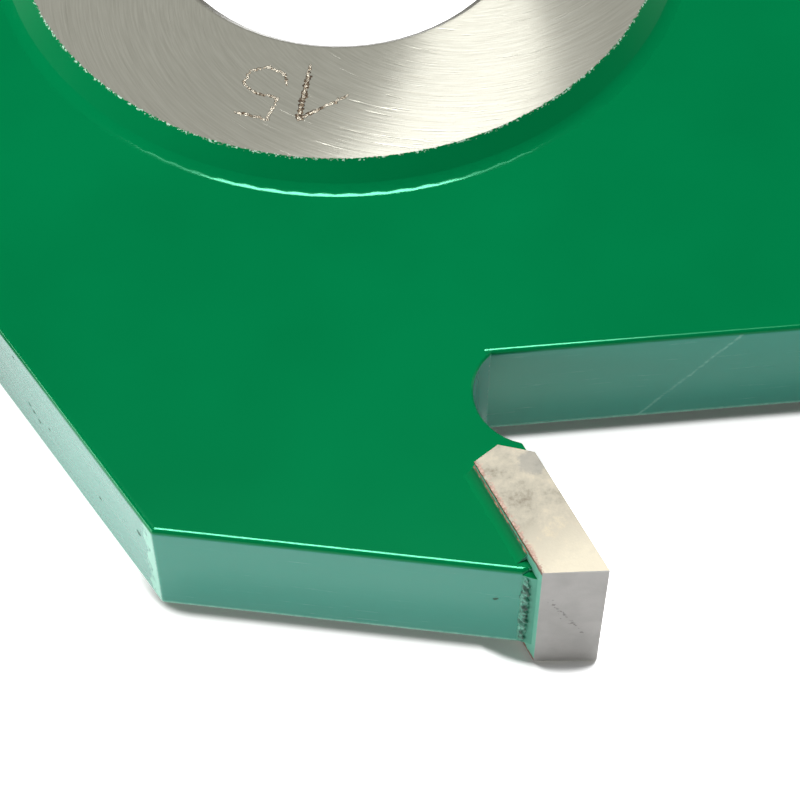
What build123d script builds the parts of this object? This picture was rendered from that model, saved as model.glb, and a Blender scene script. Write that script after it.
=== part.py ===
# Grooving cutter with six brazed carbide tips.
# Millimetres. The bore axis is Z, and the lower hub face lies on Z = 0.
# Seen from above the cutter turns counter-clockwise.
from build123d import *
import math
import os

# Driving dimensions
tooth_count = 6
bore_diameter = 32.0
bore_chamfer = 0.8
hub_diameter = 57.3
hub_thickness = 15.2
hub_wall_slope = 45.0
hub_foot_radius = 1.5
plate_thickness = 11.4
plate_edge_round = 0.35
heel_round = 0.5

# Each tooth's long straight back is a flat at this distance from the axis
back_flat_distance = 47.5
back_flat_angle = -84.4
# Its outer land is a second flat, further out
land_distance = 63.9
land_angle = -96.9
land_end_chamfer_length = 0.8
land_end_chamfer_depth = 0.5

gullet_radius = 4.8
gullet_edge_chamfer = 0.15
gullet_centre_radius = 52.4
gullet_centre_angle = -72.5

# Carbide tip
cutting_diameter = 140.0
cutting_width = 15.0
cutting_edge_angle = -72.7
hook_angle = 9.6
outer_relief_angle = 15.8
tip_length = 13.5
tip_thickness = 4.5
tip_end_slant = 0.5
tip_clip_length = 1.9
tip_clip_width = 2.2
tip_side_relief_angle = 2.0
tip_radial_relief_angle = 1.0
braze_thickness = 0.2
braze_fillet = 0.9
# Share of its leg at which the fillet's hollow face passes
braze_fillet_hollow = 0.4

# Levels worked out from the driving dimensions
mid_height = hub_thickness / 2
plate_bottom = mid_height - plate_thickness / 2
plate_top = mid_height + plate_thickness / 2
pitch = 360 / tooth_count

# Points and radii that differ by less than this are the same
tolerance = 0.01


def polar(radius, degrees):
    angle = math.radians(degrees)
    return Vector(radius * math.cos(angle), radius * math.sin(angle), 0)


def turned(point, degrees):
    return point.rotate(Axis.Z, degrees)


def flats_meet(distance_a, angle_a, distance_b, angle_b):
    """Corner of two flats, each given by its distance from the axis and its normal."""
    normal_a = polar(1, angle_a)
    normal_b = polar(1, angle_b)
    cross = normal_a.X * normal_b.Y - normal_a.Y * normal_b.X
    x = (distance_a * normal_b.Y - distance_b * normal_a.Y) / cross
    y = (distance_b * normal_a.X - distance_a * normal_b.X) / cross
    return Vector(x, y, 0)


# The tip's own axes: inward runs up the rake face from the cutting edge,
# and back runs across the tip, away from the gullet in front of it.
cutting_edge = polar(cutting_diameter / 2, cutting_edge_angle)
inward = polar(1, cutting_edge_angle + hook_angle + 180)
back = polar(1, cutting_edge_angle + hook_angle - 90)


def on_tip(along_rake, across):
    return cutting_edge + inward * along_rake + back * across


def circle_on_line(start, direction, centre, radius):
    """The first point at which a line that runs from start meets a circle."""
    offset = start - centre
    half = offset.dot(direction)
    reach = -half - math.sqrt(half * half - offset.dot(offset) + radius * radius)
    return start + direction * reach


def gap_corner(before, corner, after):
    """Corner of the seat that keeps one braze thickness off two walls of the tip."""
    normal_before = turned((corner - before).normalized(), 90)
    normal_after = turned((after - corner).normalized(), 90)
    reach = braze_thickness / (1 + normal_before.dot(normal_after))
    return corner + (normal_before + normal_after) * reach


# Plan of the first tip, beside its cutting edge
relief_drop = tip_thickness * math.tan(math.radians(outer_relief_angle + hook_angle))
tip_relief = on_tip(relief_drop, tip_thickness)
tip_back = on_tip(tip_length - tip_end_slant, tip_thickness)
tip_inner = on_tip(tip_length, tip_clip_width)
tip_front = on_tip(tip_length - tip_clip_length, 0)

# Plan of one tooth, from its heel round to the next tooth's straight back
heel = flats_meet(land_distance, land_angle, back_flat_distance, back_flat_angle - pitch)
next_heel = turned(heel, pitch)

seat_depth = tip_thickness + braze_thickness
seat_line_distance = on_tip(0, seat_depth).dot(back)
seat_line_angle = cutting_edge_angle + hook_angle - 90
seat_corner = flats_meet(land_distance, land_angle, seat_line_distance, seat_line_angle)
land_direction = polar(1, land_angle + 90)
land_end = seat_corner - land_direction * land_end_chamfer_length
seat_start = seat_corner + inward * land_end_chamfer_depth

# The seat keeps the same gap all round the tip's inner end
seat_end_back = gap_corner(tip_relief, tip_back, tip_inner)
seat_end_front = gap_corner(tip_back, tip_inner, tip_front)
clip_normal = turned((tip_front - tip_inner).normalized(), 90)
seat_front = tip_front + inward * (braze_thickness / clip_normal.dot(inward))

gullet_centre = polar(gullet_centre_radius, gullet_centre_angle)
gullet_near_tip = circle_on_line(seat_front, inward, gullet_centre, gullet_radius)
back_normal = polar(1, back_flat_angle)
centre_drop = gullet_centre.dot(back_normal) - back_flat_distance
half_chord = math.sqrt(gullet_radius**2 - centre_drop**2)
chord_middle = gullet_centre - back_normal * centre_drop
gullet_corner = chord_middle - polar(1, back_flat_angle + 90) * half_chord
gullet_deepest = gullet_centre - polar(gullet_radius, gullet_centre_angle + 90)


def tooth_outline(degrees):
    """Edges of one tooth and of the gullet before it, turned to its place."""
    def at(point):
        return turned(point, degrees)

    Polyline(
        at(heel),
        at(land_end),
        at(seat_start),
        at(seat_end_back),
        at(seat_end_front),
        at(seat_front),
        at(gullet_near_tip),
    )
    ThreePointArc(at(gullet_near_tip), at(gullet_deepest), at(gullet_corner))
    Line(at(gullet_corner), at(next_heel))


def is_over(edge, spot):
    """True if the middle of an edge lies over this spot in the plan of any tooth."""
    middle = Vector(edge.center().X, edge.center().Y, 0)
    return any((middle - turned(spot, index * pitch)).length < tolerance for index in range(tooth_count))


def has_radius(edge, radius):
    return edge.geom_type == GeomType.CIRCLE and abs(edge.radius - radius) < tolerance


def is_on_seat(edge):
    """True for the plate's edges along a tip seat, which stay sharp."""
    seat_line = [seat_start, seat_end_back, seat_end_front, seat_front, gullet_near_tip]
    return any(is_over(edge, (start + end) / 2) for start, end in zip(seat_line, seat_line[1:]))


def rim_edges(body):
    """Edges round the plate's two faces, apart from those of the tip seats."""
    edges = body.edges()
    rims = edges.filter_by_position(Axis.Z, plate_bottom, plate_bottom)
    rims += edges.filter_by_position(Axis.Z, plate_top, plate_top)
    return [edge for edge in rims if not is_on_seat(edge)]


def hub_half(z_face, z_plate):
    """Raised hub on one side, whose conical wall runs out onto the plate in a fillet."""
    rise = abs(z_face - z_plate)
    way = 1 if z_face > z_plate else -1
    slope = math.radians(hub_wall_slope)
    tangent = hub_foot_radius * math.tan(slope / 2)
    wall_foot = hub_diameter / 2 + rise / math.tan(slope)
    fillet_end = wall_foot + tangent
    wall_end = (wall_foot - tangent * math.cos(slope), z_plate + way * tangent * math.sin(slope))
    middle = (
        fillet_end - hub_foot_radius * math.sin(slope / 2),
        z_plate + way * hub_foot_radius * (1 - math.cos(slope / 2)),
    )
    with BuildPart() as half:
        with BuildSketch(Plane.XZ):
            with BuildLine():
                Polyline(
                    (fillet_end, z_plate),
                    (fillet_end, mid_height),
                    (0, mid_height),
                    (0, z_face),
                    (hub_diameter / 2, z_face),
                    wall_end,
                )
                ThreePointArc(wall_end, middle, (fillet_end, z_plate))
            make_face()
        revolve(axis=Axis.Z)
    return half.part


def build_body():
    with BuildPart() as body:
        with BuildSketch(Plane.XY.offset(plate_bottom)):
            with BuildLine():
                for index in range(tooth_count):
                    tooth_outline(index * pitch)
            make_face()
        extrude(amount=plate_thickness)
        heel_edges = [edge for edge in body.edges().filter_by(Axis.Z) if is_over(edge, heel)]
        fillet(heel_edges, heel_round)
        # Every rim is rounded but those round the gullets, which are chamfered
        fillet([edge for edge in rim_edges(body) if not has_radius(edge, gullet_radius)], plate_edge_round)
        chamfer([edge for edge in rim_edges(body) if has_radius(edge, gullet_radius)], gullet_edge_chamfer)
        add(hub_half(hub_thickness, plate_top))
        add(hub_half(0, plate_bottom))
        Cylinder(
            bore_diameter / 2,
            hub_thickness,
            align=(Align.CENTER, Align.CENTER, Align.MIN),
            mode=Mode.SUBTRACT,
        )
        chamfer([edge for edge in body.edges() if has_radius(edge, bore_diameter / 2)], bore_chamfer)
    return body.part


def build_tip():
    """Tip of the first tooth: a block that narrows away from its cutting edge."""
    with BuildPart() as tip:
        with BuildSketch(Plane.XY):
            with BuildLine():
                Polyline(cutting_edge, tip_front, tip_inner, tip_back, tip_relief, close=True)
            make_face()
        extrude(amount=hub_thickness)
        radial_slope = math.tan(math.radians(tip_radial_relief_angle))
        side_slope = math.tan(math.radians(tip_side_relief_angle))
        for way in (1, -1):
            corner = Vector(cutting_edge.X, cutting_edge.Y, mid_height + way * cutting_width / 2)
            lean = inward * radial_slope + back * side_slope
            outward = Vector(lean.X, lean.Y, way)
            split(bisect_by=Plane(corner, z_dir=outward), keep=Keep.BOTTOM)
    return tip.part


def build_braze():
    """Filler of the first tooth's seat, with its fillets on both faces and at the land's end."""
    seat_outer = (seat_start - cutting_edge).dot(inward)
    wall_start = on_tip(seat_outer, tip_thickness)
    face_outer = seat_outer + plate_edge_round + land_end_chamfer_depth
    face_inner = tip_length - tip_end_slant
    hollow = braze_fillet_hollow * braze_fillet
    with BuildPart() as seam:
        with BuildSketch(Plane.XY.offset(plate_bottom)):
            with BuildLine():
                Polyline(
                    seat_start,
                    seat_end_back,
                    seat_end_front,
                    seat_front,
                    tip_front,
                    tip_inner,
                    tip_back,
                    wall_start,
                    close=True,
                )
            make_face()
        extrude(amount=plate_thickness)
        with BuildSketch(Plane.XY.offset(plate_bottom + plate_edge_round)):
            with BuildLine():
                Polyline(land_end, seat_start, wall_start, wall_start - inward * braze_fillet, close=True)
            make_face()
        extrude(amount=plate_thickness - 2 * plate_edge_round)
        for level, way in ((plate_top, 1), (plate_bottom, -1)):
            corner = on_tip(face_outer, tip_thickness)
            across_seat = Plane(Vector(corner.X, corner.Y, level), x_dir=back, z_dir=inward)
            with BuildSketch(across_seat):
                with BuildLine():
                    Polyline((0, way * braze_fillet), (0, 0), (braze_fillet, 0))
                    ThreePointArc((braze_fillet, 0), (hollow, way * hollow), (0, way * braze_fillet))
                make_face()
            extrude(amount=face_inner - face_outer)
    return seam.part


os.makedirs("parts", exist_ok=True)
export_step(build_body(), "parts/cutter_body.step")
first_tip = build_tip()
first_seam = build_braze()
for index in range(tooth_count):
    place = Rot(0, 0, index * pitch)
    export_step(place * first_tip, f"parts/carbide_tip_{index + 1}.step")
    export_step(place * first_seam, f"parts/braze_seam_{index + 1}.step")
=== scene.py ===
import math

import bpy
import numpy as np
from mathutils import Matrix, Vector


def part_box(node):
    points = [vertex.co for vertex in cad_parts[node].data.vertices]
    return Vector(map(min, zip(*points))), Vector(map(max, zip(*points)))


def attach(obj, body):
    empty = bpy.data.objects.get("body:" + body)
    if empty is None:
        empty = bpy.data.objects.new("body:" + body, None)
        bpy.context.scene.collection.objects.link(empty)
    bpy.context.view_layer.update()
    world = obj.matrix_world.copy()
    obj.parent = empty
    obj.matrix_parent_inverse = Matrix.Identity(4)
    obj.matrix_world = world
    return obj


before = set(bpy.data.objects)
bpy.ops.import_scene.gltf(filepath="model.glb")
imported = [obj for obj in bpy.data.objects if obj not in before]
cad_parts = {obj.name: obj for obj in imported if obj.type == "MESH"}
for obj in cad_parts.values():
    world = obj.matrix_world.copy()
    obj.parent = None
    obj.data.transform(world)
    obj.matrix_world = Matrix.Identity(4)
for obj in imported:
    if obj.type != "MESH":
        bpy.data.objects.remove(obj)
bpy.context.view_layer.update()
mm = 0.001

# Camera
# A long lens above the near side of the cutter, close enough that one tooth,
# half of the hub and the backs of two teeth fill the picture.
camera_place = Vector((5.27, -154.72, 178.33)) * mm
camera_pitch = math.radians(57.811)
camera_roll = math.radians(-0.101)
camera_lens = 112.59

camera_data = bpy.data.cameras.new("camera")
camera_data.lens = camera_lens
camera_data.sensor_width = 36
camera_data.clip_start = 0.01
camera = bpy.data.objects.new("camera", camera_data)
bpy.context.collection.objects.link(camera)
turn = Matrix.Rotation(math.pi / 2 - camera_pitch, 4, "X") @ Matrix.Rotation(-camera_roll, 4, "Z")
camera.matrix_world = Matrix.Translation(camera_place) @ turn
bpy.context.scene.camera = camera
bpy.context.scene.view_settings.view_transform = "Standard"


# Studio
# White paper under the cutter, a soft lamp almost straight above with a long
# strip lamp across it, a low wide lamp at the left for the upright walls, and
# a dark room that is pale only at the horizon, so the enamel's top stays deep.
def linear(code):
    """sRGB hex to the linear colour that a shader takes."""
    parts = [int(code[i:i + 2], 16) / 255 for i in (1, 3, 5)]
    return [c / 12.92 if c <= 0.04045 else ((c + 0.055) / 1.055) ** 2.4 for c in parts] + [1.0]


def add(tree, kind, inputs=None, stops=(), **settings):
    """Adds one node with its settings and a ramp's stops.

    An input is a number, a hex colour, a socket, or a node whose first output is linked.
    """
    made = tree.nodes.new(kind)
    for name, value in settings.items():
        setattr(made, name, value)
    for name, value in (inputs or {}).items():
        socket = made.inputs[name] if isinstance(name, int) else next(
            each for each in made.inputs if each.enabled and each.name == name)
        if isinstance(value, bpy.types.Node):
            value = next(each for each in value.outputs if each.enabled)
        if isinstance(value, bpy.types.NodeSocket):
            tree.links.new(value, socket)
        else:
            socket.default_value = linear(value) if isinstance(value, str) else value
    for count, (place, code) in enumerate(stops):
        if count >= len(made.color_ramp.elements):
            made.color_ramp.elements.new(1.0)
        made.color_ramp.elements[count].position = place
        made.color_ramp.elements[count].color = linear(code)
    return made


def new_material(name):
    """An empty material, with its tree and its output node."""
    material = bpy.data.materials.new(name)
    material.use_nodes = True
    material.node_tree.nodes.clear()
    return material, material.node_tree, add(material.node_tree, "ShaderNodeOutputMaterial")


world = bpy.data.worlds.new("dark room with a pale horizon")
world.use_nodes = True
world.node_tree.nodes.clear()
room = world.node_tree
sky = add(room, "ShaderNodeSeparateXYZ", {0: add(room, "ShaderNodeTexCoord").outputs["Generated"]})
room_colour = add(room, "ShaderNodeValToRGB", {"Fac": sky.outputs["Z"]}, stops=[
    (0.0, "#F0F3F2"), (0.1, "#D5DBD8"), (0.3, "#59615D"), (0.55, "#2A302D"),
])
background = add(room, "ShaderNodeBackground", {"Color": room_colour, "Strength": 1.0})
add(room, "ShaderNodeOutputWorld", {"Surface": background})
bpy.context.scene.world = world

overhead = (-0.03, 0.21, 0.98)
low_left = (-0.93, -0.34, 0.13)
# Each lamp: name, direction, distance, width, depth and watts
lamps = (
    ("soft lamp", overhead, 0.75, 0.26, 0.13, 4.5),
    ("strip lamp", overhead, 0.75, 0.5, 0.07, 0.75),
    ("low lamp at the left", low_left, 1.0, 0.7, 0.24, 5.2),
)
for name, direction, distance, width, depth, watts in lamps:
    lamp_data = bpy.data.lights.new(name, "AREA")
    lamp_data.shape = "RECTANGLE"
    lamp_data.size = width
    lamp_data.size_y = depth
    lamp_data.energy = watts
    lamp = bpy.data.objects.new(name, lamp_data)
    bpy.context.collection.objects.link(lamp)
    behind = Vector(direction).normalized()
    # A lamp faces the middle of the cutter, with its width level
    depth_way = Vector((0, 1, 0)) if behind.z > 0.5 else Vector((0, 0, 1))
    width_way = depth_way.cross(behind).normalized()
    lamp_turn = Matrix((width_way, behind.cross(width_way), behind)).transposed()
    lamp.matrix_world = Matrix.Translation(behind * distance) @ lamp_turn.to_4x4()

# The paper glows for the camera, and in reflections, where it fades towards the
# right. It hardly glows in the gap under the plate, so the contact shadow is a
# narrow strip, but at the far left it glows in the gap too, painted light that
# stands in for light coming in from the side.
floor_reach = 2.5
floor_drop = 0.01 * mm
gap_reach = 3 * mm
fade_start = 5 * mm
fade_end = 60 * mm
side_glow_from = -13 * mm
side_glow_to = -16 * mm
floor_mesh = bpy.data.meshes.new("paper")
corner_ways = ((-1, -1), (1, -1), (1, 1), (-1, 1))
corners = [(x * floor_reach, y * floor_reach, -floor_drop) for x, y in corner_ways]
floor_mesh.from_pydata(corners, [], [(0, 1, 2, 3)])
floor = bpy.data.objects.new("paper", floor_mesh)
bpy.context.collection.objects.link(floor)
paper, tree, output = new_material("white paper")
path = add(tree, "ShaderNodeLightPath")
mirrored = add(tree, "ShaderNodeMath", {
    0: path.outputs["Is Glossy Ray"], 1: path.outputs["Is Transmission Ray"],
}, operation="MAXIMUM")
floor_place = add(tree, "ShaderNodeSeparateXYZ", {0: add(tree, "ShaderNodeTexCoord").outputs["Object"]})
faded = add(tree, "ShaderNodeMapRange", {
    "Value": floor_place.outputs["X"], "From Min": fade_start, "From Max": fade_end,
    "To Min": 1.0, "To Max": 0.5,
})
mirrored = add(tree, "ShaderNodeMath", {0: mirrored, 1: faded}, operation="MULTIPLY")
seen = add(tree, "ShaderNodeMath", {0: path.outputs["Is Camera Ray"], 1: mirrored}, operation="MAXIMUM")
open_air = add(tree, "ShaderNodeAmbientOcclusion", {"Distance": gap_reach}, samples=64).outputs["AO"]
open_air = add(tree, "ShaderNodeMapRange", {
    "Value": open_air, "From Min": 0.62, "From Max": 0.73, "To Min": 0.06,
})
# Painted light: the paper glows in the gap at the far left, as if lit from the side
side_glow_in_gap = add(tree, "ShaderNodeMapRange", {
    "Value": floor_place.outputs["X"], "From Min": side_glow_from, "From Max": side_glow_to,
})
open_air = add(tree, "ShaderNodeMath", {0: open_air, 1: side_glow_in_gap}, operation="MAXIMUM")
strength = add(tree, "ShaderNodeMath", {0: open_air, 1: seen}, operation="MULTIPLY")
glow = add(tree, "ShaderNodeEmission", {"Color": "#FFFFFF", "Strength": strength})
matt = add(tree, "ShaderNodeBsdfDiffuse", {"Color": "#FAFAFA"})
both = add(tree, "ShaderNodeAddShader", {0: matt, 1: glow})
tree.links.new(both.outputs[0], output.inputs["Surface"])
floor_mesh.materials.append(paper)

# Steel body
# One piece of steel, milled to its outline and sprayed green all over. Its hub
# faces and its bore are ground afterwards, so they are bare and bright, and
# the enamel ends in a ragged line round the hub.
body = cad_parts["cutter_body"]
body_low, body_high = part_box("cutter_body")
hub_radius = 28.65
tooth_count = 6
pitch = 2 * math.pi / tooth_count
# The walls of a tooth's land and of its back: the distance from the axis and
# the direction that the wall faces
land_distance = 63.9
land_bearing = math.radians(-96.9)
back_distance = 47.5
back_bearing = math.radians(-144.4)
plate_half = 5.7
middle_height = (body_low.z + body_high.z) / (2 * mm)
plate_bottom = middle_height - plate_half
land_wall_way = Vector((math.cos(land_bearing), math.sin(land_bearing), 0))
back_wall_way = Vector((math.cos(back_bearing), math.sin(back_bearing), 0))
# The two walls meet at the heel
both_walls = Matrix((land_wall_way.xy, back_wall_way.xy))
heel_place = (both_walls.inverted() @ Vector((land_distance, back_distance))).to_3d()

# Patterns are laid out in millimetres: a noise of scale 2 has a grain of 0.5 mm
enamel_and_steel, tree, output = new_material("gloss enamel on ground steel")
place = add(tree, "ShaderNodeTexCoord").outputs["Object"]
millimetres = add(tree, "ShaderNodeVectorMath", {0: place, "Scale": 1000.0}, operation="SCALE")
axes = add(tree, "ShaderNodeSeparateXYZ", {0: millimetres})
flat = add(tree, "ShaderNodeCombineXYZ", {"X": axes.outputs["X"], "Y": axes.outputs["Y"]})
radius = add(tree, "ShaderNodeVectorMath", {0: flat}, operation="LENGTH")
bearing = add(tree, "ShaderNodeMath", {0: axes.outputs["Y"], 1: axes.outputs["X"]}, operation="ARCTAN2")
normal = add(tree, "ShaderNodeSeparateXYZ", {0: add(tree, "ShaderNodeNewGeometry").outputs["Normal"]})
steepness = add(tree, "ShaderNodeMath", {0: normal.outputs["Z"]}, operation="ABSOLUTE")
upright = add(tree, "ShaderNodeMapRange", {"Value": steepness, "From Min": 0.55, "From Max": 0.15})

# Every place is turned back to the first tooth for what all six teeth share. The
# first tooth's sector starts in the gullet of the tooth before.
sector_start = math.radians(-135.5)
tooth = add(tree, "ShaderNodeMath", {0: bearing, 1: sector_start}, operation="SUBTRACT")
tooth = add(tree, "ShaderNodeMath", {0: tooth, 1: 1 / pitch}, operation="MULTIPLY")
tooth = add(tree, "ShaderNodeMath", {0: tooth}, operation="FLOOR")
turn_back = add(tree, "ShaderNodeMath", {0: tooth, 1: -pitch}, operation="MULTIPLY")
home = add(tree, "ShaderNodeVectorRotate", {"Vector": flat, "Angle": turn_back}, rotation_type="Z_AXIS")

# Gloss enamel: orange peel about a millimetre across, and a fat edge, which is
# paint that drew back from the rims and falls off over the last half millimetre
fat_edge_start = -0.58
fat_edge_end = 0.05
fat_edge_height = 0.16
peel_height = 0.0015
peel = add(tree, "ShaderNodeTexNoise", {"Vector": millimetres, "Scale": 0.9, "Detail": 2.0})
to_land = add(tree, "ShaderNodeVectorMath", {0: home, 1: land_wall_way}, operation="DOT_PRODUCT")
to_land = add(tree, "ShaderNodeMath", {0: to_land, 1: land_distance}, operation="SUBTRACT")
to_back = add(tree, "ShaderNodeVectorMath", {0: home, 1: back_wall_way}, operation="DOT_PRODUCT")
to_back = add(tree, "ShaderNodeMath", {0: to_back, 1: back_distance}, operation="SUBTRACT")
to_rim = add(tree, "ShaderNodeMath", {0: to_land, 1: to_back}, operation="MAXIMUM")
fat_edge = add(tree, "ShaderNodeMapRange", {
    "Value": to_rim, "From Min": fat_edge_start, "From Max": fat_edge_end,
})
fat_edge = add(tree, "ShaderNodeMath", {0: fat_edge, 1: 2.0}, operation="POWER")
# A place far outside these two walls belongs to the gullet of the tooth before
own_tooth = add(tree, "ShaderNodeMath", {0: to_rim, 1: 0.1}, operation="LESS_THAN")
fat_edge = add(tree, "ShaderNodeMath", {0: fat_edge, 1: own_tooth}, operation="MULTIPLY")
paint_height = add(tree, "ShaderNodeMath", {0: fat_edge, 1: -fat_edge_height}, operation="MULTIPLY")
paint_height = add(tree, "ShaderNodeMath", {
    0: peel, 1: peel_height, 2: paint_height,
}, operation="MULTIPLY_ADD")
enamel_normal = add(tree, "ShaderNodeBump", {"Height": paint_height, "Strength": 1.0, "Distance": mm})

# It is thinner on the upright walls and paler there, the paleness partly a
# painted reflection of the white paper, with dust nibs and slanting rubs
cloud = add(tree, "ShaderNodeTexNoise", {"Vector": millimetres, "Scale": 0.06, "Detail": 3.0})
top_colour = add(tree, "ShaderNodeValToRGB", {"Fac": cloud}, stops=[(0.3, "#007C45"), (0.7, "#00834A")])
rub_way = add(tree, "ShaderNodeMapping", {
    "Vector": millimetres, "Rotation": (0.0, 0.9, 0.6), "Scale": (0.12, 0.12, 2.6),
})
rub_noise = add(tree, "ShaderNodeTexNoise", {
    "Vector": rub_way, "Scale": 1.0, "Detail": 4.0, "Roughness": 0.7,
})
rubs = add(tree, "ShaderNodeMapRange", {
    "Value": rub_noise, "From Min": 0.6, "From Max": 0.78, "To Max": 0.25,
})
# The walls' pale green is partly a painted reflection of the paper mirrored in them
side_colour_and_painted_light = add(tree, "ShaderNodeMix", {"Factor": rubs, "A": "#0C8977", "B": "#88C2B8"}, data_type="RGBA")
# Painted highlights: pale streaks on the left wall near the heel, and along the lower rim
streak_way = add(tree, "ShaderNodeMapping", {"Vector": millimetres, "Scale": (1.0, 1.0, 0.35)})
streaks = add(tree, "ShaderNodeTexNoise", {
    "Vector": streak_way, "Scale": 1.4, "Detail": 3.0, "Roughness": 0.6,
})
from_heel = add(tree, "ShaderNodeVectorMath", {0: home, 1: heel_place}, operation="DISTANCE")
heel_highlight = add(tree, "ShaderNodeMath", {0: streaks, 1: -3.4, 2: from_heel}, operation="MULTIPLY_ADD")
heel_highlight = add(tree, "ShaderNodeMapRange", {
    "Value": heel_highlight, "From Min": -0.3, "From Max": -0.8, "To Max": 0.8,
})
off_land = add(tree, "ShaderNodeMapRange", {"Value": to_land, "From Min": -0.02, "From Max": -0.12})
heel_highlight = add(tree, "ShaderNodeMath", {0: heel_highlight, 1: off_land}, operation="MULTIPLY")
heel_highlight = add(tree, "ShaderNodeMath", {0: heel_highlight, 1: upright}, operation="MULTIPLY")
low_rim_highlight = add(tree, "ShaderNodeMapRange", {
    "Value": axes.outputs["Z"], "From Min": plate_bottom + 0.6, "From Max": plate_bottom + 0.4,
})
low_rim_highlight = add(tree, "ShaderNodeMath", {0: low_rim_highlight, 1: streaks}, operation="MULTIPLY")
# Painted highlight: the heel's streaks and the lower rim's line are lightened to a pale mint
painted_highlights = add(tree, "ShaderNodeMath", {0: heel_highlight, 1: low_rim_highlight}, operation="MAXIMUM")
side_colour_and_painted_light = add(tree, "ShaderNodeMix", {
    "Factor": painted_highlights, "A": side_colour_and_painted_light, "B": "#A9E3CE",
}, data_type="RGBA")
# One long scratch slants up the wall behind the gullet, the next tooth's back,
# and wavers a little
scratch_slope = 1.435
scratch_foot = -26.55
next_back_way = Vector((math.cos(back_bearing + pitch), math.sin(back_bearing + pitch), 0))
up_the_scratch = Vector((next_back_way.y * scratch_slope, -next_back_way.x * scratch_slope, 1))
wall_run = add(tree, "ShaderNodeVectorMath", {0: millimetres, 1: up_the_scratch}, operation="DOT_PRODUCT")
scratched = add(tree, "ShaderNodeMath", {0: streaks, 1: 0.9, 2: wall_run}, operation="MULTIPLY_ADD")
scratched = add(tree, "ShaderNodeMath", {0: scratched, 1: scratch_foot}, operation="SUBTRACT")
scratched = add(tree, "ShaderNodeMath", {0: scratched}, operation="ABSOLUTE")
scratched = add(tree, "ShaderNodeMapRange", {"Value": scratched, "From Min": 0.3, "From Max": 0.05})
on_wall = add(tree, "ShaderNodeVectorMath", {0: millimetres, 1: next_back_way}, operation="DOT_PRODUCT")
on_wall = add(tree, "ShaderNodeMath", {0: on_wall, 1: back_distance, 2: 0.1}, operation="COMPARE")
scratched = add(tree, "ShaderNodeMath", {0: scratched, 1: on_wall}, operation="MULTIPLY")
dotted = add(tree, "ShaderNodeMapRange", {
    "Value": rub_noise, "From Min": 0.4, "From Max": 0.6, "To Min": 0.1, "To Max": 0.6,
})
scratched = add(tree, "ShaderNodeMath", {0: scratched, 1: dotted}, operation="MULTIPLY")
side_colour_and_painted_light = add(tree, "ShaderNodeMix", {
    "Factor": scratched, "A": side_colour_and_painted_light, "B": "#9AD6C4",
}, data_type="RGBA")
enamel_colour = add(tree, "ShaderNodeMix", {
    "Factor": upright, "A": top_colour, "B": side_colour_and_painted_light,
}, data_type="RGBA")
nib_cells = add(tree, "ShaderNodeTexVoronoi", {"Vector": millimetres, "Scale": 0.22})
nib_size = add(tree, "ShaderNodeMapRange", {
    "Value": nib_cells.outputs["Distance"], "From Min": 0.05, "From Max": 0.035,
})
nib_lot = add(tree, "ShaderNodeSeparateColor", {0: nib_cells.outputs["Color"]})
nib_pick = add(tree, "ShaderNodeMath", {0: nib_lot, 1: 0.8}, operation="GREATER_THAN")
nibs = add(tree, "ShaderNodeMath", {0: nib_size, 1: nib_pick}, operation="MULTIPLY")
nibs = add(tree, "ShaderNodeMath", {0: nibs, 1: upright}, operation="MULTIPLY")
# Chips in the left wall and the land: how far along the wall, how high and how wide
ragged = add(tree, "ShaderNodeTexNoise", {"Vector": millimetres, "Scale": 4.0, "Detail": 2.0})
left_wall = (back_wall_way * back_distance, Vector((-back_wall_way.y, back_wall_way.x, 0)))
land_wall = (land_wall_way * land_distance, Vector((-land_wall_way.y, land_wall_way.x, 0)))
chips = (
    (left_wall, 23.9, 6.6, 0.2), (left_wall, 24.5, 6.2, 0.22), (left_wall, 25.2, 5.7, 0.17),
    (left_wall, 22.6, 11.9, 0.16), (left_wall, 32.2, 2.1, 0.2), (left_wall, 41.0, 10.1, 0.28),
    (land_wall, 20.4, 8.8, 0.17),
)
for (wall_foot, wall_way), run, height, size in chips:
    spot = wall_foot + wall_way * run + Vector((0, 0, height))
    near = add(tree, "ShaderNodeVectorMath", {0: millimetres, 1: spot}, operation="DISTANCE")
    near = add(tree, "ShaderNodeMath", {0: ragged, 1: -0.5, 2: near}, operation="MULTIPLY_ADD")
    near = add(tree, "ShaderNodeMapRange", {"Value": near, "From Min": size - 0.2, "From Max": size - 0.28})
    nibs = add(tree, "ShaderNodeMath", {0: nibs, 1: near}, operation="MAXIMUM")
enamel_colour = add(tree, "ShaderNodeMix", {
    "Factor": nibs, "A": enamel_colour, "B": "#123F30",
}, data_type="RGBA")
# A few pale specks of dust sank into the enamel's top
speck_size = add(tree, "ShaderNodeMapRange", {
    "Value": nib_cells.outputs["Distance"], "From Min": 0.028, "From Max": 0.018,
})
speck_pick = add(tree, "ShaderNodeMath", {0: nib_lot.outputs["Green"], 1: 0.93}, operation="GREATER_THAN")
specks = add(tree, "ShaderNodeMath", {0: speck_size, 1: speck_pick}, operation="MULTIPLY")
specks = add(tree, "ShaderNodeMath", {0: specks, 1: steepness}, operation="MULTIPLY")
enamel_colour = add(tree, "ShaderNodeMix", {
    "Factor": specks, "A": enamel_colour, "B": "#9ADCC2",
}, data_type="RGBA")

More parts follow.
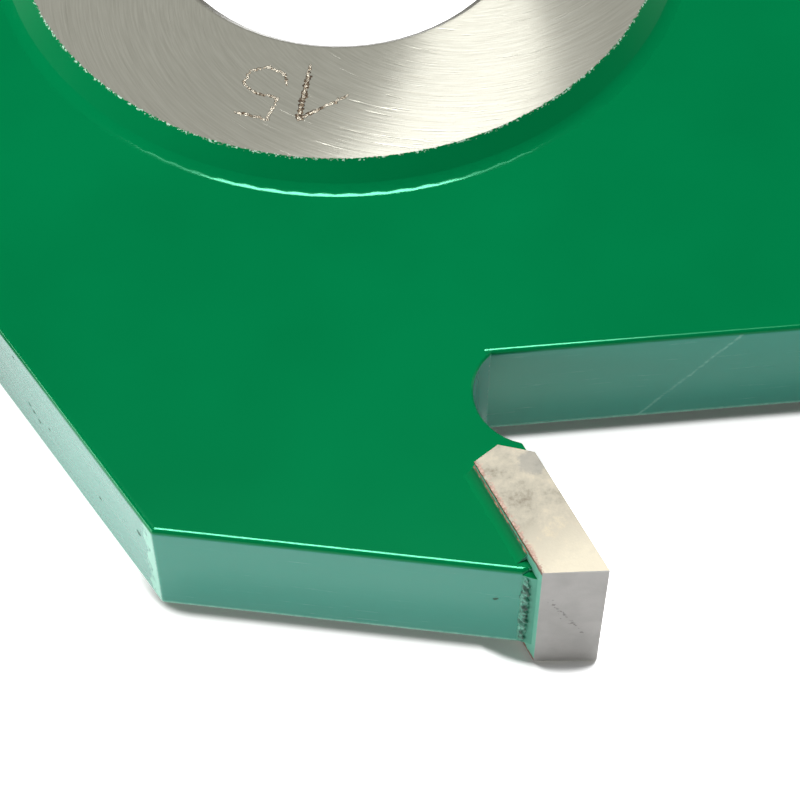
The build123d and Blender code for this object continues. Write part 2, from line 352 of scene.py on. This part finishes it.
# The enamel's edge: torn by the grinding over two tenths of a millimetre, with
# bright flecks of bare steel along it
tear = add(tree, "ShaderNodeTexNoise", {
    "Vector": millimetres, "Scale": 4.5, "Detail": 3.0, "Roughness": 0.7,
})
enamel_edge = add(tree, "ShaderNodeMath", {0: tear, 1: 0.5, 2: radius}, operation="MULTIPLY_ADD")
painted = add(tree, "ShaderNodeMapRange", {
    "Value": enamel_edge, "From Min": hub_radius + 0.2, "From Max": hub_radius + 0.25,
})
fleck_noise = add(tree, "ShaderNodeTexNoise", {"Vector": millimetres, "Scale": 3.6, "Detail": 2.0})
fleck_zone = add(tree, "ShaderNodeMath", {0: enamel_edge, 1: hub_radius + 0.26}, operation="SUBTRACT")
fleck_zone = add(tree, "ShaderNodeMath", {0: fleck_zone}, operation="ABSOLUTE")
fleck_zone = add(tree, "ShaderNodeMapRange", {"Value": fleck_zone, "From Min": 0.11, "From Max": 0.06})
flecks = add(tree, "ShaderNodeMapRange", {"Value": fleck_noise, "From Min": 0.54, "From Max": 0.57})
flecks = add(tree, "ShaderNodeMath", {0: flecks, 1: fleck_zone}, operation="MULTIPLY")
enamel_colour = add(tree, "ShaderNodeMix", {
    "Factor": flecks, "A": enamel_colour, "B": "#C9F0DA",
}, data_type="RGBA")

# The gloss is uneven along the rims and on the walls, low under the heel's
# painted highlight streaks, and gone in the chips
dull = add(tree, "ShaderNodeMath", {0: fat_edge, 1: rub_noise}, operation="MULTIPLY")
dull = add(tree, "ShaderNodeMath", {0: heel_highlight, 1: 0.6, 2: dull}, operation="MULTIPLY_ADD")
dull = add(tree, "ShaderNodeMath", {0: nibs, 1: 1.5, 2: dull}, operation="MULTIPLY_ADD")
dull = add(tree, "ShaderNodeMapRange", {"Value": dull, "From Max": 1.5, "To Min": 0.11, "To Max": 0.55})
enamel = add(tree, "ShaderNodeBsdfPrincipled", {
    "Base Color": enamel_colour, "Roughness": dull, "IOR": 1.5, "Specular Tint": "#76ECBC",
    "Normal": enamel_normal,
})

# Ground steel: the grinding scratches lean from the radius by 48 degrees at the
# bore and by 72 degrees at the hub's edge. Each scratch keeps one value of
# bearing + log_share ln(radius) - radius_share radius. They are drawn 0.4 mm apart
# halfway out, and the deep ones 0.7 mm, coarser than real ones, so that they show.
log_share = 1.78
radius_share = 0.17
scratch_stretch = 0.012
ground_from = 17.0
ground_to = 28.6
gloss_at_bore = math.radians(127)
gloss_at_edge = math.radians(151)
log_radius = add(tree, "ShaderNodeMath", {0: radius, 1: math.e}, operation="LOGARITHM")
scratch = add(tree, "ShaderNodeMath", {0: log_radius, 1: log_share, 2: bearing}, operation="MULTIPLY_ADD")
scratch = add(tree, "ShaderNodeMath", {0: radius, 1: -radius_share, 2: scratch}, operation="MULTIPLY_ADD")
scratch_x = add(tree, "ShaderNodeMath", {0: scratch}, operation="COSINE")
scratch_y = add(tree, "ShaderNodeMath", {0: scratch}, operation="SINE")
fine_along = add(tree, "ShaderNodeMath", {0: radius, 1: scratch_stretch}, operation="MULTIPLY")
fine_way = add(tree, "ShaderNodeCombineXYZ", {"X": scratch_x, "Y": scratch_y, "Z": fine_along})
fine = add(tree, "ShaderNodeTexNoise", {"Vector": fine_way, "Scale": 55.0, "Detail": 2.5, "Roughness": 0.6})
coarse = add(tree, "ShaderNodeTexNoise", {
    "Vector": fine_way, "Scale": 34.0, "Detail": 2.0, "Roughness": 0.6,
})
scored = add(tree, "ShaderNodeMapRange", {
    "Value": coarse, "From Min": 0.64, "From Max": 0.72, "To Max": 0.8,
})
grain = add(tree, "ShaderNodeMath", {0: fine, 1: scored}, operation="SUBTRACT")
steel_normal = add(tree, "ShaderNodeBump", {"Height": grain, "Strength": 1.0, "Distance": 0.015 * mm})
steel_colour = add(tree, "ShaderNodeValToRGB", {"Fac": fine}, stops=[
    (0.25, "#AFADA0"), (0.5, "#B8B6A9"), (0.75, "#C1BFB2"),
])
# The bore's wall is darker than the hub faces
bore_wall = add(tree, "ShaderNodeMapRange", {
    "Value": radius, "From Min": ground_from, "From Max": ground_from - 0.4, "To Max": 0.7,
})
steel_colour = add(tree, "ShaderNodeMix", {
    "Factor": bore_wall, "A": steel_colour, "B": "#5E5B55",
}, data_type="RGBA")
# The gloss follows the scratches
lean = add(tree, "ShaderNodeMapRange", {
    "Value": radius, "From Min": ground_from, "From Max": ground_to,
    "To Min": gloss_at_bore, "To Max": gloss_at_edge,
})
outward = add(tree, "ShaderNodeVectorMath", {0: flat}, operation="NORMALIZE")
tangent = add(tree, "ShaderNodeVectorRotate", {"Vector": outward, "Angle": lean}, rotation_type="Z_AXIS")
steel = add(tree, "ShaderNodeBsdfPrincipled", {
    "Base Color": steel_colour, "Metallic": 0.33, "Roughness": 0.27, "Anisotropic": 1.0,
    "Tangent": tangent, "Normal": steel_normal,
})

surface = add(tree, "ShaderNodeMixShader", {0: painted, 1: steel, 2: enamel})
tree.links.new(surface.outputs[0], output.inputs["Surface"])
body.data.materials.clear()
body.data.materials.append(enamel_and_steel)

# Braze seams
# Silver solder run in between each tip and its seat, browned by the torch. It
# was sprayed over with the body, so it has the body's enamel, duller up the
# fillet and darkened towards the tip by painted shade, and only the fillet's
# crest against the tip has broken through.
solder = enamel_and_steel.copy()
solder.name = "gloss enamel over browned solder"
tree = solder.node_tree
axes = tree.nodes[axes.name]
millimetres = tree.nodes[millimetres.name]
height_off = add(tree, "ShaderNodeMath", {0: axes.outputs["Z"], 1: middle_height}, operation="SUBTRACT")
height_off = add(tree, "ShaderNodeMath", {0: height_off}, operation="ABSOLUTE")
stain = add(tree, "ShaderNodeTexNoise", {"Vector": millimetres, "Scale": 1.3, "Detail": 3.0})
solder_colour = add(tree, "ShaderNodeValToRGB", {"Fac": stain}, stops=[
    (0.3, "#5B3B2C"), (0.5, "#A0705A"), (0.7, "#D8A48C"),
])
crest_line = add(tree, "ShaderNodeMath", {0: stain, 1: 0.5, 2: height_off}, operation="MULTIPLY_ADD")
bare_crest = add(tree, "ShaderNodeMapRange", {
    "Value": crest_line, "From Min": plate_half + 1.0, "From Max": plate_half + 1.1,
})
# Painted shade: the enamel darkens up the fillet, into the crease against the tip
painted_shade_up_fillet = add(tree, "ShaderNodeMapRange", {
    "Value": height_off, "From Min": plate_half + 0.05, "From Max": plate_half + 0.9,
})
enamel_with_painted_shade = add(tree, "ShaderNodeMix", {"Factor": painted_shade_up_fillet, "A": "#007F47", "B": "#0A5C34"}, data_type="RGBA")
# The upright faces are paler, like the body's walls, partly a painted reflection of the paper
enamel_with_painted_shade = add(tree, "ShaderNodeMix", {
    "Factor": tree.nodes[upright.name], "A": enamel_with_painted_shade, "B": "#62A892",
}, data_type="RGBA")
solder_colour = add(tree, "ShaderNodeMix", {
    "Factor": bare_crest, "A": enamel_with_painted_shade, "B": solder_colour,
}, data_type="RGBA")
final_colour = next(each for each in solder_colour.outputs if each.enabled)
sprayed_solder = tree.nodes[enamel.name]
tree.links.new(final_colour, sprayed_solder.inputs["Base Color"])
tree.links.remove(sprayed_solder.inputs["Roughness"].links[0])
sprayed_solder.inputs["Roughness"].default_value = 0.55
sprayed_solder.inputs["Specular IOR Level"].default_value = 0.15
for index in range(tooth_count):
    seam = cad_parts[f"braze_seam_{index + 1}"]
    seam.data.materials.clear()
    seam.data.materials.append(solder)

# Solder lumps
# Where the seam comes out at the end of each land the solder stands in rough
# lumps, one above the other, under thin enamel. Their colour follows the bump's
# height: painted shade in the hollows, painted highlight on the crests.
def closed_surfaces(name, rings, first, last):
    """Mesh of closed surfaces, each a stack of rings that is shut by a pole at both ends.

    The rings are an array by surface, ring, place round the ring and axis. A wall's
    face joins two neighbours in a ring to the same two in the next one, and a fan of
    triangles joins the outer rings to their poles.
    """
    surfaces, stack, places, _ = rings.shape
    points = np.concatenate([rings.reshape(surfaces, -1, 3), first[:, None], last[:, None]], axis=1)
    ring, here = np.meshgrid(np.arange(stack - 1), np.arange(places), indexing="ij")
    beside = (here + 1) % places
    walls = np.stack([ring * places + here, ring * places + beside,
                      (ring + 1) * places + beside, (ring + 1) * places + here], axis=-1).reshape(-1, 4)
    round_pole = np.arange(places)
    past = (round_pole + 1) % places
    top = (stack - 1) * places
    first_fan = np.stack([np.full(places, stack * places), past, round_pole], axis=-1)
    last_fan = np.stack([np.full(places, stack * places + 1), top + round_pole, top + past], axis=-1)
    starts = np.arange(surfaces)[:, None, None] * (stack * places + 2)
    faces = []
    for group in (walls, first_fan, last_fan):
        faces += (group + starts).reshape(-1, group.shape[1]).tolist()
    mesh = bpy.data.meshes.new(name)
    mesh.from_pydata(points.reshape(-1, 3).tolist(), [], faces)
    mesh.shade_smooth()
    made = bpy.data.objects.new(name, mesh)
    bpy.context.collection.objects.link(made)
    return made


edge_bearing = math.radians(-72.7)
hook = math.radians(9.6)
face_bearing = edge_bearing + hook
inward_way = Vector((-math.cos(face_bearing), -math.sin(face_bearing), 0))
back_way = Vector((math.sin(face_bearing), -math.cos(face_bearing), 0))
cutting_radius = 70.0
lump_along = 3.27
lump_across = 5.1
lump_radius = 0.32
lump_margin = 0.5
lump_places = 28
lump_rings = 90
lump_waves = 14
edge_place = Vector((math.cos(edge_bearing), math.sin(edge_bearing), 0)) * cutting_radius
lump_foot = edge_place + inward_way * lump_along + back_way * lump_across
chance = np.random.default_rng(15)
span = np.linspace(0, 1, lump_rings)
angles = np.linspace(0, 2 * np.pi, lump_places, endpoint=False)
lump_levels = middle_height + (2 * span - 1) * (plate_half - lump_margin)
# The radius is lump_radius times 1 plus the waves, which climb the pillar and go
# round it, and the pillar draws in to a point at both ends
climb = chance.uniform(20, 95, (tooth_count, lump_waves, 1, 1))
lobes = chance.integers(0, 4, (tooth_count, lump_waves, 1, 1))
phase = chance.uniform(0, 6, (tooth_count, lump_waves, 1, 1))
share = chance.uniform(0.03, 0.11, (tooth_count, lump_waves, 1, 1))
waves = (np.sin(climb * span[:, None] + lobes * angles + phase) * share).sum(axis=1)
ends = np.clip(np.sin(np.pi * span), 0, 1)[:, None] ** 0.25
pillars = lump_radius * (1 + waves) * ends
turns = (np.arange(tooth_count) * pitch)[:, None, None]
x = lump_foot.x + pillars * np.cos(angles)
y = lump_foot.y + pillars * np.sin(angles)
rings = np.stack([x * np.cos(turns) - y * np.sin(turns), x * np.sin(turns) + y * np.cos(turns),
                  lump_levels[None, :, None] * np.ones_like(x)], axis=-1)
rings *= mm
lumps = closed_surfaces("solder_lumps", rings, rings[:, 0].mean(axis=1), rings[:, -1].mean(axis=1))
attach(lumps, "root")

lumpy, tree, output = new_material("thin enamel over solder lumps")
place = add(tree, "ShaderNodeTexCoord").outputs["Object"]
millimetres = add(tree, "ShaderNodeVectorMath", {0: place, "Scale": 1000.0}, operation="SCALE")
lump_relief = add(tree, "ShaderNodeTexNoise", {
    "Vector": millimetres, "Scale": 1.7, "Detail": 4.0, "Roughness": 0.7,
})
# Painted shade and highlight: dark where the bump is low, pale where it is high
lump_colour_with_painted_light = add(tree, "ShaderNodeValToRGB", {"Fac": lump_relief}, stops=[
    (0.36, "#16382E"), (0.46, "#2C6B58"), (0.56, "#4C9C84"), (0.7, "#8FCDB9"),
])
lump_normal = add(tree, "ShaderNodeBump", {"Height": lump_relief, "Strength": 1.0, "Distance": 0.12 * mm})
shader = add(tree, "ShaderNodeBsdfPrincipled", {
    "Base Color": lump_colour_with_painted_light, "Roughness": 0.45, "Normal": lump_normal,
})
tree.links.new(shader.outputs[0], output.inputs["Surface"])
lumps.data.materials.append(lumpy)

# Carbide tips
# Sintered tungsten carbide blocks. Their outer face is ground smooth and grey,
# and their flanks are blasted, so they are pale, warm and mottled. The wall
# against the tooth was sprayed green with the body.
carbide, tree, output = new_material("sintered carbide, ground and blasted")
place = add(tree, "ShaderNodeTexCoord").outputs["Object"]
millimetres = add(tree, "ShaderNodeVectorMath", {0: place, "Scale": 1000.0}, operation="SCALE")
axes = add(tree, "ShaderNodeSeparateXYZ", {0: millimetres})
face_normal = add(tree, "ShaderNodeNewGeometry").outputs["Normal"]
normal = add(tree, "ShaderNodeSeparateXYZ", {0: face_normal})
steepness = add(tree, "ShaderNodeMath", {0: normal.outputs["Z"]}, operation="ABSOLUTE")
flank = add(tree, "ShaderNodeMapRange", {"Value": steepness, "From Min": 0.6, "From Max": 0.9})

# The six tips share their marks: each place is turned back to the first tip and
# measured inwards along the tip's face and backwards across it. A tip's sector
# has its middle a tenth of a pitch behind the cutting edge.
sector_middle = edge_bearing - 0.1 * pitch
bearing = add(tree, "ShaderNodeMath", {0: axes.outputs["Y"], 1: axes.outputs["X"]}, operation="ARCTAN2")
tooth = add(tree, "ShaderNodeMath", {0: bearing, 1: sector_middle}, operation="SUBTRACT")
tooth = add(tree, "ShaderNodeMath", {0: tooth, 1: 1 / pitch, 2: 0.5}, operation="MULTIPLY_ADD")
tooth = add(tree, "ShaderNodeMath", {0: tooth}, operation="FLOOR")
turn_back = add(tree, "ShaderNodeMath", {0: tooth, 1: -pitch}, operation="MULTIPLY")
home = add(tree, "ShaderNodeVectorRotate", {
    "Vector": millimetres, "Angle": turn_back,
}, rotation_type="Z_AXIS")
home = add(tree, "ShaderNodeVectorMath", {0: home, 1: edge_place}, operation="SUBTRACT")
along = add(tree, "ShaderNodeVectorMath", {0: home, 1: inward_way}, operation="DOT_PRODUCT")
across = add(tree, "ShaderNodeVectorMath", {0: home, 1: back_way}, operation="DOT_PRODUCT")
home_normal = add(tree, "ShaderNodeVectorRotate", {
    "Vector": face_normal, "Angle": turn_back,
}, rotation_type="Z_AXIS")
facing_tooth = add(tree, "ShaderNodeVectorMath", {0: home_normal, 1: back_way}, operation="DOT_PRODUCT")

# Flanks: mottled cream, lighter towards the cutting edge, with one grey patch
patch_place = (10.9, 0.7, 0.0)
mottle = add(tree, "ShaderNodeTexNoise", {
    "Vector": millimetres, "Scale": 0.42, "Detail": 6.0, "Roughness": 0.72,
})
flank_colour = add(tree, "ShaderNodeValToRGB", {"Fac": mottle}, stops=[
    (0.32, "#978E7C"), (0.45, "#BFB8A6"), (0.58, "#D0C7B3"), (0.72, "#E6D9BC"),
])
near_edge = add(tree, "ShaderNodeMath", {0: mottle, 1: 10.0, 2: along}, operation="MULTIPLY_ADD")
near_edge = add(tree, "ShaderNodeMapRange", {
    "Value": near_edge, "From Min": 11.0, "From Max": 6.5, "To Max": 0.85,
})
flank_colour = add(tree, "ShaderNodeMix", {
    "Factor": near_edge, "A": flank_colour, "B": "#F3E9D1",
}, data_type="RGBA")
patch = add(tree, "ShaderNodeCombineXYZ", {"X": along, "Y": across})
patch = add(tree, "ShaderNodeVectorMath", {0: patch, 1: patch_place}, operation="DISTANCE")
patch = add(tree, "ShaderNodeMath", {0: mottle, 1: 2.0, 2: patch}, operation="MULTIPLY_ADD")
patch = add(tree, "ShaderNodeMapRange", {"Value": patch, "From Min": 2.2, "From Max": 1.9, "To Max": 0.6})
flank_colour = add(tree, "ShaderNodeMix", {
    "Factor": patch, "A": flank_colour, "B": "#A3A199",
}, data_type="RGBA")
# The torch browned the flank along the seam, in a broken line
burnt_noise = add(tree, "ShaderNodeTexNoise", {
    "Vector": millimetres, "Scale": 1.9, "Detail": 3.0, "Roughness": 0.7,
})
burnt = add(tree, "ShaderNodeMath", {0: burnt_noise, 1: 2.0, 2: across}, operation="MULTIPLY_ADD")
burnt = add(tree, "ShaderNodeMapRange", {"Value": burnt, "From Min": 5.2, "From Max": 5.35, "To Max": 0.8})
burnt_colour = add(tree, "ShaderNodeValToRGB", {"Fac": burnt_noise}, stops=[
    (0.4, "#7A4E3E"), (0.5, "#B58675"), (0.62, "#DDBBAA"),
])
flank_colour = add(tree, "ShaderNodeMix", {
    "Factor": burnt, "A": flank_colour, "B": burnt_colour,
}, data_type="RGBA")

# Outer face: ground grey, with a painted highlight as a pale line along its top
# and bottom rims, and a slanting chain of chips, which rises twice as far as it goes across
tip_half = 7.5
chain_slope = 2.04
chain_foot = 2.6
chain_low = 5.0
chain_high = 10.8
ground_noise = add(tree, "ShaderNodeTexNoise", {"Vector": millimetres, "Scale": 0.5, "Detail": 4.0})
ground_colour = add(tree, "ShaderNodeValToRGB", {"Fac": ground_noise}, stops=[
    (0.35, "#A39F9C"), (0.65, "#AEAAA7"),
])
height_off = add(tree, "ShaderNodeMath", {0: axes.outputs["Z"], 1: middle_height}, operation="SUBTRACT")
height_off = add(tree, "ShaderNodeMath", {0: height_off}, operation="ABSOLUTE")
# Painted highlight: the face is lightened along its top and bottom rims
painted_rim_highlight = add(tree, "ShaderNodeMapRange", {
    "Value": height_off, "From Min": tip_half - 0.3, "From Max": tip_half - 0.1, "To Max": 0.6,
})
ground_colour = add(tree, "ShaderNodeMix", {
    "Factor": painted_rim_highlight, "A": ground_colour, "B": "#D9D6D2",
}, data_type="RGBA")
chip_noise = add(tree, "ShaderNodeTexNoise", {"Vector": millimetres, "Scale": 2.6, "Detail": 2.0})
chip_line = add(tree, "ShaderNodeMath", {
    0: across, 1: -chain_slope, 2: axes.outputs["Z"],
}, operation="MULTIPLY_ADD")
chip_line = add(tree, "ShaderNodeMath", {0: chip_line, 1: chain_foot}, operation="SUBTRACT")
chip_line = add(tree, "ShaderNodeMath", {0: chip_line}, operation="ABSOLUTE")
chip_line = add(tree, "ShaderNodeMath", {0: chip_noise, 1: -5.0, 2: chip_line}, operation="MULTIPLY_ADD")
face_chips = add(tree, "ShaderNodeMapRange", {
    "Value": chip_line, "From Min": -2.45, "From Max": -2.75, "To Max": 0.6,
})
chip_start = add(tree, "ShaderNodeMath", {0: axes.outputs["Z"], 1: chain_low}, operation="GREATER_THAN")
chip_end = add(tree, "ShaderNodeMath", {0: axes.outputs["Z"], 1: chain_high}, operation="LESS_THAN")
face_chips = add(tree, "ShaderNodeMath", {0: face_chips, 1: chip_start}, operation="MULTIPLY")
face_chips = add(tree, "ShaderNodeMath", {0: face_chips, 1: chip_end}, operation="MULTIPLY")
ground_colour = add(tree, "ShaderNodeMix", {
    "Factor": face_chips, "A": ground_colour, "B": "#5F5A57",
}, data_type="RGBA")
carbide_colour = add(tree, "ShaderNodeMix", {
    "Factor": flank, "A": ground_colour, "B": flank_colour,
}, data_type="RGBA")

# The wall against the tooth is green up to a ragged line, and burnt brown above it
sprayed = add(tree, "ShaderNodeMapRange", {"Value": facing_tooth, "From Min": 0.8, "From Max": 0.9})
spray_line = add(tree, "ShaderNodeMath", {0: burnt_noise, 1: 0.9, 2: height_off}, operation="MULTIPLY_ADD")
kept = add(tree, "ShaderNodeMapRange", {
    "Value": spray_line, "From Min": tip_half - 0.1, "From Max": tip_half - 0.25,
})
wall_colour = add(tree, "ShaderNodeMix", {"Factor": kept, "A": "#7C5547", "B": "#6FB7A0"}, data_type="RGBA")
carbide_colour = add(tree, "ShaderNodeMix", {
    "Factor": sprayed, "A": carbide_colour, "B": wall_colour,
}, data_type="RGBA")
grit = add(tree, "ShaderNodeTexNoise", {"Vector": millimetres, "Scale": 5.0, "Detail": 3.0})
relief = add(tree, "ShaderNodeMath", {0: mottle, 1: 3.0, 2: grit}, operation="MULTIPLY_ADD")
relief = add(tree, "ShaderNodeMath", {0: face_chips, 1: -6.0, 2: relief}, operation="MULTIPLY_ADD")
carbide_normal = add(tree, "ShaderNodeBump", {"Height": relief, "Strength": 1.0, "Distance": 0.01 * mm})
dullness = add(tree, "ShaderNodeMapRange", {"Value": flank, "To Min": 0.42, "To Max": 0.6})
shader = add(tree, "ShaderNodeBsdfPrincipled", {
    "Base Color": carbide_colour, "Metallic": 0.15, "Roughness": dullness, "Normal": carbide_normal,
})
tree.links.new(shader.outputs[0], output.inputs["Surface"])
for index in range(tooth_count):
    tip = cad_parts[f"carbide_tip_{index + 1}"]
    tip.data.materials.clear()
    tip.data.materials.append(carbide)

# Number on the hub
# The cutting width, 15, written by hand with a vibrating point on the upper
# hub face. Each blow leaves a pit with a burr round it, and the colour, set by
# height, paints the pits dark as shade and the burr crests bright as highlight.
# The second pass over the stem flattens the burrs, so the stem is painted darker.
stroke_five = [(-8.4, -23.8), (-5.85, -24.6), (-4.95, -22.3), (-6.95, -21.7), (-7.9, -20.8),
               (-7.4, -19.4), (-5.85, -18.95), (-4.35, -19.8), (-4.3, -20.9)]
stroke_one = [(-2.33, -18.9), (-3.2, -24.6), (-1.25, -23.3), (0.95, -22.0)]
second_pass = [(-2.5, -19.6), (-3.32, -24.5), (-3.0, -24.4), (-1.4, -23.45), (-3.05, -24.3), (-2.35, -19.9)]
blow_spacing = 0.16
blow_scatter = 0.05
burr_radius = 0.14
burr_height = 0.012
burr_places = 12
flattened_share = 0.45
blows = []
for stroke in (stroke_five, stroke_one, second_pass):
    stroke = np.array(stroke)
    lengths = np.concatenate([[0], np.cumsum(np.linalg.norm(np.diff(stroke, axis=0), axis=1))])
    reached = np.arange(0, lengths[-1], blow_spacing)
    blows.append(np.stack([np.interp(reached, lengths, stroke[:, axis]) for axis in (0, 1)], axis=-1))
second_blows = len(blows[-1])
blows = np.concatenate(blows)
blows = blows + chance.normal(0, blow_scatter, blows.shape)
# A burr's section from its outer foot inwards, as shares of its radius and
# height: the buried foot, the outer foot, the crest and the pit's floor
section = np.array([(0.95, -1.0), (1.0, 0.0), (0.75, 0.8), (0.55, 1.0), (0.3, 0.15)])
angles = np.linspace(0, 2 * np.pi, burr_places, endpoint=False)
burr_sizes = burr_radius * chance.uniform(0.7, 1.25, len(blows))
wobble = 1 + 0.25 * np.sin(angles * 2 + chance.uniform(0, 6, (len(blows), 1)))
reach = burr_sizes[:, None, None] * section[:, 0][None, :, None] * wobble[:, None, :]
crest = chance.uniform(0.5, 1.0, (len(blows), 1, 1)) * np.ones_like(reach)
crest[-second_blows:] *= flattened_share
face_height = body_high.z / mm
level = face_height + burr_height * section[:, 1][None, :, None] * crest
rings = np.stack([blows[:, 0][:, None, None] + reach * np.cos(angles),
                  blows[:, 1][:, None, None] + reach * np.sin(angles), level], axis=-1)
low_poles = np.column_stack([blows, np.full(len(blows), face_height - burr_height)])
high_poles = np.column_stack([blows, np.full(len(blows), face_height + 0.1 * burr_height)])
number = closed_surfaces("number_on_hub", rings * mm, low_poles * mm, high_poles * mm)
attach(number, "root")

peened, tree, output = new_material("peened steel")
place = add(tree, "ShaderNodeTexCoord").outputs["Object"]
millimetres = add(tree, "ShaderNodeVectorMath", {0: place, "Scale": 1000.0}, operation="SCALE")
axes = add(tree, "ShaderNodeSeparateXYZ", {0: millimetres})
# Painted shade and highlight: dark at the pit's floor, bright on the burr's crest
painted_light_by_height = add(tree, "ShaderNodeMapRange", {
    "Value": axes.outputs["Z"], "From Min": face_height, "From Max": face_height + burr_height * 0.8,
})
peened_colour_with_painted_light = add(tree, "ShaderNodeValToRGB", {"Fac": painted_light_by_height}, stops=[
    (0.2, "#35261A"), (0.6, "#7C6C57"), (0.95, "#D9D2C1"),
])
grit = add(tree, "ShaderNodeTexNoise", {"Vector": millimetres, "Scale": 9.0, "Detail": 2.0})
peened_normal = add(tree, "ShaderNodeBump", {"Height": grit, "Strength": 1.0, "Distance": 0.02 * mm})
shader = add(tree, "ShaderNodeBsdfPrincipled", {
    "Base Color": peened_colour_with_painted_light, "Metallic": 0.7, "Roughness": 0.38, "Normal": peened_normal,
})
tree.links.new(shader.outputs[0], output.inputs["Surface"])
number.data.materials.append(peened)
